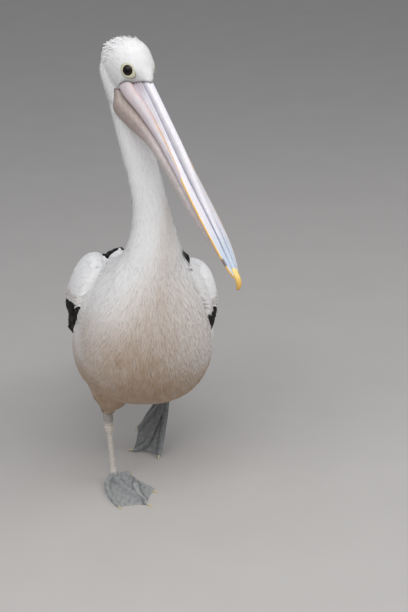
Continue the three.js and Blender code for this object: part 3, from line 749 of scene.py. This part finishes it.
COAT_SIZES = {}
MOST_TRIANGLES = 200_000  # of one coat piece
SLIM = dict(t_rows=(0, 0.5, 1), x_cols=(-1, 0, 1))
ROUND = dict(t_rows=(0, 0.4, 0.75, 1), x_cols=(-1, -0.5, 0, 0.5, 1))
BROAD = dict(t_rows=(0, 0.25, 0.5, 0.75, 1), x_cols=(-1, -0.5, 0, 0.5, 1))
QUILL = dict(t_rows=(0, 0.12, 0.28, 0.44, 0.6, 0.76, 0.88, 0.95, 1), x_cols=(-1, -0.6, -0.08, 0.08, 0.6, 1))


def leaf(t):
    return np.minimum(1, 0.4 + 2.2 * t) * (1 - 0.3 * t**3)


def plume(t):
    return 1 - 0.62 * t**2


def quill(t):
    return np.minimum(1, 0.55 + 2 * t) * (1 - 0.75 * step(0.72, 1.04, t))


def plain(points):
    return 1


def coat(name, roots, axis, length, width, tips, build=SLIM, shape=plume, yaw=0.12, turn=0.0, colours=None,
         mat=None, slot="plumage", seed=1, base=0.3, size=plain, inside=None, spill=3.0, **more):
    """Feathers at the given roots; lengths, widths and heights are in millimetres."""
    pick = default_rng(seed + 100)
    n = len(roots)
    grown = pick.uniform(0.88, 1.12, n) * size(roots)
    long = length * MM * grown
    wide = width * MM * grown
    angle = pick.normal(0, yaw, n) + turn
    if inside is not None:
        long = trimmed(roots, axis.flow, long, angle, inside, spill, seed)
        keep = long > 0.3 * length * MM
        roots, long, wide, angle = (a[keep] for a in (roots, long, wide, angle))
    spine, normals, ways, _ = trace(roots, axis.flow, long, build["t_rows"], angle)
    strides = np.linalg.norm(np.diff(spine, axis=1), axis=2) / (long[:, None] * np.diff(build["t_rows"]))
    laid = strides.min(1) > 0.72
    roots, long, wide, spine, normals, ways = (a[laid] for a in (roots, long, wide, spine, normals, ways))

    def lift(t):
        return (base + (tips - base) * t**1.4) * MM

    tint = (colours or plumage)(spine[:, -2])
    return blades(name, spine, normals, ways, wide, long, shape=shape, lift=lift, tint=tint,
                  uv=axis.unwrap(roots), mat=mat or PLUME, slot=slot, seed=seed, **build, **more)


def face_size(points):
    """Head feathers are shorter towards the bill."""
    return 0.5 + 0.5 * step(-5, -50, head_frame(points)[:, 0])


EYE_OUT = 0.1  # how far the tangent plane of the bare ring stands over the skin


def eye_frame(sign):
    """Outward, forward and across directions of an eye, and the middle of its opening."""
    out = unit(HEAD_LEFT * 0.87 * sign + CROWN * 0.43 + BILL_WAY * 0.23)
    ahead = unit(BILL_WAY - out * np.dot(BILL_WAY, out))
    face = skin.tree.find_nearest(head_point(-17, 26 * sign, 13.7))[0]
    return out, ahead, np.cross(out, ahead), np.array(face) + out * EYE_OUT * MM


def corner_reach(angle, sign):
    """The bare ring reaches further at its front and back corners."""
    lean = -0.19 * sign
    ahead = np.cos(angle - lean)
    return 1 + 0.26 * np.maximum(ahead, 0) ** 6 + 0.18 * np.maximum(-ahead, 0) ** 6


def clear_of_eyes(points):
    keep = np.ones(len(points), bool)
    for sign in (-1, 1):
        _, ahead, across, face = eye_frame(sign)
        gap = points - face
        angle = np.arctan2(gap @ across, gap @ ahead)
        keep &= np.linalg.norm(gap, axis=1) > 0.0122 * corner_reach(angle, sign)
    return points[keep]


def near_region(points, chosen, reach):
    """The points within reach of the chosen triangles."""
    tree = point_tree(skin.middle[chosen])
    return points[[tree.find(p)[2] < reach for p in points.tolist()]]


def quill_size(points):
    """Flight feathers are narrower where the folded wing ends."""
    return 1 - 0.5 * step(230, 360, table(points)[:, 1])


def fringe_tint(points):
    """The lowest white wing feathers, tipped with buff."""
    buff = default_rng(17).uniform(0.05, 0.45, len(points))
    return WHITE + (BUFF - WHITE) * buff[:, None]


BODY = parts_of(0)
roots = clear_of_eyes(skin.scatter(region("head"), 1.55 * MM, 2))
coat("coat_head", roots, BODY_AXIS, 8.5, 1.0, 0.9, size=face_size, seed=2, yaw=0.16, base=0.15)
nape = skin.scatter(region("head"), 4.2 * MM, 20)
back = head_frame(nape)
nape = nape[(back[:, 0] < -52) & (np.abs(back[:, 2] - 8) < 20)]
coat("coat_nape", nape, BODY_AXIS, 13, 1.3, 3.6, seed=21, yaw=0.28, base=0.5)
NECK_COATS = (("upper", 2.0, 3, 13, 1.3, 1.1), ("lower", 2.3, 4, 17, 1.6, 1.4))
for part, gap, seed, length, width, tips in NECK_COATS:
    roots = skin.scatter(region(f"neck_{part}"), gap * MM, seed)
    coat(f"coat_neck_{part}", roots, BODY_AXIS, length, width, tips, seed=seed, yaw=0.1)

TORSO = skin.scatter(region("trunk", "rump"), 3.2 * MM, 5)
spot = table(TORSO)
front = spot[:, 1] < -55 + 12 * ripple(TORSO, 0.03, 5)
low = ~front & (spot[:, 2] < 300)
high = ~front & (spot[:, 2] >= 300)
sparse = default_rng(6).random(len(TORSO)) < 0.6
coat("coat_breast", TORSO[front], TRUNK_AXIS, 26, 2.3, 1.5, build=ROUND, seed=5, yaw=0.1, inside=BODY)
coat("coat_belly", TORSO[low & sparse], TRUNK_AXIS, 30, 3.8, 1.4, build=ROUND, shape=leaf, seed=6, yaw=0.1,
     inside=BODY)
coat("coat_back", TORSO[high & sparse], TRUNK_AXIS, 36, 6.0, 1.6, build=ROUND, shape=leaf, seed=7, yaw=0.08,
     inside=BODY)
DOWNWARD = Axis([(0, 0, 260), (0, 0, 200), (0, 0, 120)], 500)
for side in SIDES:
    roots = skin.scatter(region(f"thigh_{side}"), 2.1 * MM, 8)
    coat(f"coat_thigh_{side}", roots, DOWNWARD, 15, 2.2, 1.4, seed=8)
BLACK_FEATHERS = dict(build=QUILL, shape=quill, colours=all_black, mat=DARK, slot="dark_feathers",
                      uneven=0.15)
for side, s in SIDES.items():
    axis = WING_AXIS[side]
    wing, black, over = (region(f"{part}_{side}") for part in ("wing", "flight", "scapulars"))
    white_roots = skin.scatter(wing, 5.0 * MM, 9)
    fringe = near_region(skin.scatter(wing, 2.2 * MM, 15), black, 15 * MM)
    coat(f"coat_fringe_{side}", fringe, axis, 26, 2.4, 2.6, build=ROUND, seed=16, colours=fringe_tint,
         yaw=0.12, turn=0.12 * s, inside=wing, spill=20.0)
    coat(f"coat_wing_{side}", white_roots, axis, 34, 6.5, 1.5, build=BROAD, shape=leaf, seed=9,
         arc=0.3, yaw=0.06, turn=0.12 * s, inside=wing, spill=9.0)
    coat(f"coat_scapulars_{side}", skin.scatter(over, 8 * MM, 12), axis, 70, 8.0, 2.0, seed=12, yaw=0.04,
         bank=0.7 * s, inside=over, spill=3.0, **BLACK_FEATHERS)
    coat(f"coat_flight_{side}", skin.scatter(black, 9 * MM, 13), axis, 120, 10, 2.4, seed=13, yaw=0.02,
         turn=0.14 * s, bank=0.9 * s, inside=black, spill=3.0, size=quill_size, **BLACK_FEATHERS)
flat = region("tail") & (skin.face_normal[:, 1] < 0.75) & (np.abs(skin.face_normal[:, 2]) > 0.5)
coat("coat_tail", skin.scatter(flat, 9 * MM, 14), TRUNK_AXIS, 90, 10, 2.0, seed=14, yaw=0.03, inside=flat,
     spill=1.0, **BLACK_FEATHERS)
for name, triangles in COAT_SIZES.items():
    if triangles >= MOST_TRIANGLES:
        raise ValueError(f"{name} has {triangles} triangles")

dark_nodes = [i for i, n in enumerate(FLESH) if n.startswith(("scapulars", "flight", "tail"))]
skin_tint = plumage(skin.verts) * 0.9
skin_tint[np.isin(skin.label, dark_nodes)] = BLACK
body = mesh_object("body_skin", skin.verts, skin.quads, PLUME_SKIN, "plumage", skin_tint)
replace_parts(body, *FLESH)


# ------ bill
# Rows: f, half width, tomium height, groove half width, groove height, ridge top.
UPPER = [
    (-10, 15, -4, 8, 11.6, 20.8), (14, 14.5, -3, 7.7, 10.5, 20.2), (50, 13, -1, 7.3, 9.6, 19.5),
    (90, 12.8, 0, 7, 7.8, 18.2), (130, 14, 0, 6.7, 5.4, 17), (165, 16.6, -0.8, 6.4, 3.8, 14.2),
    (200, 18.2, -1.8, 6.2, 3, 10.4), (250, 18.4, -2.2, 5.6, 2, 6.4), (290, 16.9, -2.7, 4.8, 0.6, 4),
    (315, 14.6, -4.4, 4.4, -1.6, 1.8), (335, 11, -6.4, 3.8, -3.6, -0.4), (350, 6, -8, 3, -5, -2.2)]
ROOT_HORN = (0.54, 0.47, 0.52)
HORN = (0.80, 0.77, 0.82)
RIDGE = (0.82, 0.79, 0.83)
GROOVE = (0.13, 0.15, 0.25)
NICK = (0.065, 0.075, 0.125)
EDGE = (0.80, 0.47, 0.09)
PALE_BLUE = (0.46, 0.55, 0.66)
MARGIN = (0.09, 0.07, 0.07)
NAIL_ROOT, NAIL_TIP = (0.86, 0.67, 0.23), (0.70, 0.32, 0.03)
JAW_FLOOR = (0.40, 0.31, 0.31)
RAMUS_ROOT, RAMUS = (0.70, 0.61, 0.63), (0.64, 0.57, 0.62)
# RAMUS_HIGHLIGHT is a painted highlight laid along the outer side of each jaw branch.
RAMUS_HIGHLIGHT = (0.82, 0.77, 0.78)
GAPE_LINE = (0.42, 0.28, 0.26)
RAMUS_BLUE = (0.24, 0.24, 0.34)
UNDER_LINE = (0.26, 0.17, 0.15)
# SACK_SHADOW is a painted shadow along the pouch's lower edge by the throat.
SACK_SKIN, SACK_TIP, SACK_SHADOW = (0.425, 0.345, 0.315), (0.60, 0.53, 0.52), (0.20, 0.13, 0.11)


def mix(a, b, k):
    """From colour a to colour b by k, one value or many."""
    a, b = np.asarray(a), np.asarray(b)
    return a + (b - a) * np.asarray(k)[..., None]


def bordered(tube):
    """A dark line where a bill piece comes out of the feathers."""
    verts, faces, colour = tube
    gap = np.array([skin.tree.find_nearest(v)[3] for v in verts.tolist()]) / MM
    return verts, faces, mix(colour, MARGIN, 0.85 * step(2.9, 1.6, gap))


def upper_bill():
    rings, tints = [], []
    for f, w, t, g, gz, top in smooth(UPPER, 12):
        half = [(w - 0.5, t - 1.4), (w, t - 0.4), (w - 0.1, t + 0.8), (w - 0.9, t + 1.9),
                ((w + g) / 2 + 0.6, (t + gz) / 2 + 1.5), (g + 1.7, gz + 0.6), (g + 0.6, gz - 0.7),
                (g - 0.3, gz + 0.4), (g - 0.8, gz + (top - gz) * 0.5), (g * 0.6, top - 0.8), (0, top)]
        half = smooth(half, 4)
        left = half[:-1]
        palate = [(w * side, t - 0.2) for side in (-0.5, 0, 0.5)]
        ring = np.concatenate([left, [half[-1]], left[::-1] * [-1, 1], palate])
        rings.append(head_point(f, ring[:, 0], ring[:, 1]))
        x = np.abs(ring[:, 0])
        flange = mix(ROOT_HORN, HORN, step(0, 42, f) * np.ones(len(x)))
        colour = mix(flange, RIDGE, step(g + 1, g - 1, x)) * (1 - 0.08 * step(150, 210, f))
        colour = colour * (1 - 0.06 * (1 + np.sin(x * 3.1 + 2.5 * np.sin(f * 0.013))))[:, None]
        colour = mix(colour, PALE_BLUE, 0.8 * step(245, 320, f) * step(w, w - 4, x))
        line = np.exp(-(((x - g - 0.4) / 0.8) ** 2)) * (ring[:, 1] > t + 0.5)
        colour = mix(colour, GROOVE, 0.9 * line * step(330, 290, f))
        orange = 0.45 * step(30, 70, f) + 0.5 * step(110, 170, f)
        colour = mix(colour, EDGE, step(w - 1.9, w - 0.5, x) * orange)
        nick = step(9, 4, abs(f - 324)) * step(w - 4, w - 2, -ring[:, 0]) * np.ones(len(x))
        tints.append(mix(colour, NICK, 0.8 * nick))
    return shell("upper_bill", BILL, "bill", bordered(sealed(rings, tints)))


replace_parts(upper_bill(), "bill_upper")

NAIL_ROWS = [
    (337, -3.6, 4.2, 2.6), (346, -5, 5.2, 3.8), (356, -6.4, 5.0, 4.5), (363, -10, 4.0, 4.1),
    (366.5, -15, 2.7, 3), (367, -19.5, 0.8, 0.9)]


def hook():
    f, u, wide, thick = smooth(NAIL_ROWS, 6).T
    centre = head_point(f, 0, u)
    side, up = sides_of(centre, CROWN)
    turn = around(24)[None, :, None]
    across, over = (side * wide[:, None])[:, None], (up * thick[:, None])[:, None]
    rings = centre[:, None] + (np.cos(turn) * across + np.sin(turn) * over) * MM
    tint = mix(NAIL_ROOT, NAIL_TIP, np.linspace(0, 1, len(f)))
    return shell("bill_hook", BILL, "nail", sealed(rings, np.repeat(tint[:, None], 24, 1)))


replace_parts(hook(), "bill_nail")

# The lower jaw's floor and the pouch. Rows: f, half width, top, bottom.
LOWER = [
    (-13, 20, -4, -30), (10, 19, -3, -30), (30, 18, 1, -24), (50, 17, 2.4, -19), (70, 16.6, 2.6, -16),
    (95, 16.3, 2.4, -13), (125, 16.4, 1.8, -11), (165, 16.6, 0, -10.5), (205, 15.6, -4, -10.6),
    (255, 14.2, -4.2, -10), (300, 11.4, -5.8, -10), (340, 5, -9.4, -12)]
SACK = [
    (-20, 19.5, -36, -58), (-9, 22, -31, -63), (8, 25.5, -31, -78), (45, 23.5, -21, -66),
    (85, 19.5, -14, -48), (126, 17, -11, -41), (190, 15, -9, -36.5), (220, 14, -8.6, -33),
    (250, 12.5, -8.6, -28.6), (280, 10.5, -8.4, -24.6), (305, 8, -9.4, -19)]
# The branches of the lower jaw. Rows: f, distance from the middle, height, half width, half height.
BRANCH = [
    (-22, 20, -12, 5, 9), (-10, 19.6, -13.5, 7.2, 13.6), (0, 18.6, -14.4, 6.8, 14),
    (10, 17.6, -14.7, 6.2, 13.7), (30, 16.4, -10.5, 5.6, 12.8), (50, 14.8, -8, 5.1, 11.6),
    (70, 14.2, -6.4, 4.7, 10), (90, 13.9, -5, 4.4, 8.4), (110, 14, -4, 4.1, 7), (130, 14.5, -3.6, 3.7, 6.2),
    (150, 14.9, -3.2, 3.3, 5.4), (170, 15, -3.4, 3, 4.8), (200, 14.2, -5.4, 2.7, 4.2),
    (250, 12.8, -6.6, 2.4, 3.6), (300, 9.8, -7.8, 2.2, 3), (338, 5, -10.4, 1.8, 2)]


def trough(rows, fullness, tint_of):
    rings, tints = [], []
    for f, w, top, bottom in smooth(rows, 10):
        widest = bottom + (top - bottom) * 0.7
        x, y = squarish(TURN, fullness, w, top - widest, widest - bottom)
        rings.append(head_point(f, x, widest + y))
        tints.append(tint_of(f, x, widest + y))
    return bordered(sealed(rings, tints))


def jaw_floor(f, x, y):
    return np.tile(JAW_FLOOR, (len(x), 1))


def branch(sign):
    rings, tints = [], []
    for f, a, u, w, h in smooth(BRANCH, 10):
        x, y = squarish(TURN, 2.1, w, h, h)
        rings.append(head_point(f, sign * (a + x), u + y))
        level = y / h
        colour = mix(RAMUS_ROOT, RAMUS, step(10, 110, f))
        # A painted highlight: a pale band along each branch's outer side, about mid-height.
        sheen = np.exp(-(((level - 0.5) / 0.28) ** 2))
        colour = mix(colour, RAMUS_HIGHLIGHT, 0.75 * sheen * step(-5, 30, f) * (x > 0))
        colour = mix(colour, GAPE_LINE, 0.45 * step(0.78, 0.95, level))
        colour = mix(colour, EDGE, 0.6 * step(0.93, 1.0, level) * step(40, 110, f))
        blue = 0.55 * step(90, 140, f) * step(250, 215, f)
        colour = mix(colour, RAMUS_BLUE, blue * step(0.3, 0.55, level) * step(0.9, 0.7, level))
        colour = mix(colour, UNDER_LINE, 0.75 * step(-0.62, -0.9, level) * step(-25, 15, f))
        tints.append(colour)
    return bordered(sealed(rings, tints))


def sack_tint(f, x, y):
    colour = np.tile(SACK_SKIN, (len(x), 1)) * (1 + 0.06 * np.sin(y * 1.1 + f * 0.12))[:, None]
    colour = mix(colour, SACK_TIP, step(50, 120, f) * np.ones(len(x)))
    # Painted shadow along the low edge of the pouch near its root, by the throat.
    return mix(colour, SACK_SHADOW, 0.5 * step(30, 0, f) * step(-45, -70, y))


lower_bill = shell("lower_bill", BILL, "bill", trough(LOWER, 2.3, jaw_floor), branch(-1), branch(1))
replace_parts(lower_bill, "mandible")
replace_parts(shell("throat_pouch", POUCH, "pouch", trough(SACK, 2.0, sack_tint)), "pouch")


# ------ eyes
GLOBE, GLOBE_DEEP, GLOBE_IN = 11.2, 6.4, 4.2
LID_SKIN = (0.54, 0.52, 0.38)
LID_EDGE = (0.243, 0.234, 0.171)
LID_RIM = (0.05, 0.045, 0.035)
PUPIL, IRIS, EYE_RIM = (0.003, 0.003, 0.004), (0.020, 0.012, 0.009), (0.004, 0.004, 0.004)
# Rows of the bare ring: radius, height over the face's tangent plane.
LID_ROWS = [
    (7.9, -0.4), (8.2, 0.9), (8.8, 1.5), (9.6, 1.7), (10.6, 1.5), (11.6, 0.9), (12.1, 0), (11.7, -2.4),
    (8.4, -3.4)]


def eye(side, sign):
    out, ahead, across, face = eye_frame(sign)
    tilt = np.linspace(0.01, math.pi - 0.01, 33)[:, None]
    turn = around(32)[None]
    round_it = np.cos(turn)[..., None] * ahead + np.sin(turn)[..., None] * across
    deep, wide = GLOBE_DEEP * np.cos(tilt)[..., None], GLOBE * np.sin(tilt)[..., None]
    ball = face + MM * ((deep - GLOBE_IN) * out + wide * round_it)
    angle = np.degrees(tilt) * np.ones_like(turn)
    colour = mix(PUPIL, IRIS, step(20, 25, angle))
    colour = mix(colour, EYE_RIM, step(38, 44, angle))
    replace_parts(shell(f"eyeball_{side}", EYE, "eye", sealed(ball, colour)), f"eye_{side}")

    ring = around(64)
    corner = corner_reach(ring, sign)
    rings, tints = [], []
    for r, h in smooth(LID_ROWS, 4):
        reach = r * (1 + (corner - 1) * step(7.6, 11, r))
        flat = np.cos(ring)[:, None] * ahead + np.sin(ring)[:, None] * across
        rings.append(face + MM * (reach[:, None] * flat + (h - reach[:, None] ** 2 / 66) * out))
        tone = mix(LID_RIM, LID_SKIN, step(7.8, 8.4, r)) * np.ones((len(ring), 1))
        tints.append(mix(tone, LID_EDGE, 0.8 * step(11.2, 11.9, r) * np.ones(len(ring))))
    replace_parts(shell(f"eyelids_{side}", LID, "eye_skin", sealed(rings, tints)), f"eye_ring_{side}")


for side, s in SIDES.items():
    eye(side, s)


# ------ legs, feet and claws
GREY = (0.72, 0.67, 0.60)
WEB = (0.35, 0.36, 0.36)
# TOE_HIGHLIGHT is a painted highlight along the toes' ridges.
TOE_HIGHLIGHT = (0.54, 0.55, 0.55)
LEG_VOXEL = 0.0009
RING_PITCH = 5.0  # of the shank's scales
# The toes' middle lines.
TOES = {
    "right": (((-4, 6, 4), (-13, -16, 4), (-14, -44, 4), (-9, -72, 3), (3, -104, 3)),
              ((0, 4, 4), (10, -20, 4), (23, -46, 4), (38, -73, 3), (56, -102, 3)),
              ((4, 5, 4), (24, -9, 4), (44, -25, 3), (71, -52, 3)), ((3, 7, 4), (16, 15, 3), (32, 23, 3))),
    "left": (((61, 131, 100), (56, 117, 70), (49, 100, 38), (42.5, 86, 13.4), (39.5, 79, 3.6)),
             ((57, 131, 99), (45, 122, 71), (31, 112, 41), (19, 107, 18), (3, 108.5, 5.8), (-9, 112, 2.5)),
             ((54, 134, 97), (38, 138, 74), (18, 141, 50), (4, 141, 36)),
             ((54, 135, 99), (46, 141, 95), (39, 146, 89)))}


def toe_distance(points, side):
    return np.min([streak(points, a, b) for line in TOES[side] for a, b in zip(line, line[1:])], axis=0)


# A foot in the body's shadow gets painted shade on its web.
def leg(side, base, ankle, painted_shade):
    pieces = [node_arrays(f"{part}_{side}", 0.0002) for part in ("shank", "foot")]
    surface = Surface(*fused(pieces, LEG_VOXEL))
    surface.relax(3)
    p = table(surface.verts)
    way = unit(np.array(ankle, float) - base)
    s = (p - base) @ way
    ring = 0.5 + 0.5 * np.cos(2 * math.pi * s / RING_PITCH + 1.5 * np.sin(s * 0.21))
    normal = surface.normals()
    surface.verts = surface.verts - normal * (0.14 * MM * ring * step(8, 20, s))[:, None]
    gap = toe_distance(surface.verts, side)
    # Painted highlight along each toe's ridge, and painted shadow in the crease about 7 mm to either side.
    web = mix(WEB, TOE_HIGHLIGHT, 0.9 * np.exp(-((gap / 3.4) ** 2)))
    web = web * (1 - 0.42 * np.exp(-(((gap - 7.0) / 1.9) ** 2)))[:, None] * painted_shade
    colour = mix(web, GREY, step(0, 14, s))
    colour = colour * (1 - 0.2 * ring * step(8, 20, s) - 0.34 * step(104, 116, s))[:, None]
    colour = colour * (1 + (0.03 + 0.1 * step(14, 4, s)) * ripple(surface.verts, 0.009, 31))[:, None]
    return mesh_object(f"leg_{side}", surface.verts, surface.quads, LEG, "leg", colour)


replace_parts(leg("right", (-54, -3, 12), (-61, 3, 124), 1.0), "shank_right", "foot_right")
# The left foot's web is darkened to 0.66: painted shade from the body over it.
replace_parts(leg("left", (58, 131, 100), (60, 66, 196), 0.66), "shank_left", "foot_left")
for side in SIDES:
    for toe in ("I", "II", "III", "IV"):
        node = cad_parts[f"claw_{toe}_{side}"]
        node.data.materials.clear()
        node.data.materials.append(CLAW)


# ------ floor, light, camera
FLOOR_HALF = 6.0
CAMERA_AT = (-196, -2562, 1389)  # table millimetres
CAMERA_TURN, CAMERA_PITCH = math.radians(7), math.radians(22)


def floor():
    mesh = bpy.data.meshes.new("floor")
    corners = ((-1, -1), (1, -1), (1, 1), (-1, 1))
    mesh.from_pydata([(x * FLOOR_HALF, y * FLOOR_HALF, 0) for x, y in corners], [], [(0, 1, 2, 3)])
    mesh.materials.append(
        material("pale_floor", 0.9, 0.2, colour=(0.52, 0.50, 0.48), scale=20, variation=0.02))
    add_object("floor", mesh)


def look_along(obj, way):
    obj.rotation_euler = Vector(way).to_track_quat("-Z", "Y").to_euler()


def soft_light(name, at, aim, size, power):
    data = bpy.data.lights.new(name, "AREA")
    data.shape = "DISK"
    data.size = size
    data.energy = power
    obj = add_object(name, data)
    obj.location = at
    look_along(obj, Vector(aim) - Vector(at))


def camera():
    data = bpy.data.cameras.new("camera")
    data.sensor_fit = "VERTICAL"
    data.sensor_height = 36
    data.lens = 90
    obj = add_object("camera", data)
    obj.location = place(CAMERA_AT)
    level = math.cos(CAMERA_PITCH)
    look_along(obj, (math.sin(CAMERA_TURN) * level, math.cos(CAMERA_TURN) * level, -math.sin(CAMERA_PITCH)))
    bpy.context.scene.camera = obj


floor()
soft_light("sky_top", (0.1, -1.9, 2.9), (0, 0, 0.55), 2.4, 58)
soft_light("sky_left", (-1.8, -2.1, 2.4), (0, 0, 0.6), 2.0, 26)
soft_light("sky_right", (2.4, -0.6, 2.2), (0, 0, 0.5), 2.0, 22)
world = bpy.data.worlds.new("room")
world.use_nodes = True
put(world.node_tree.nodes["Background"], {"Color": (0.9, 0.93, 1.0, 1), "Strength": 0.33})
bpy.context.scene.world = world
bpy.context.scene.view_settings.view_transform = "Standard"
camera()
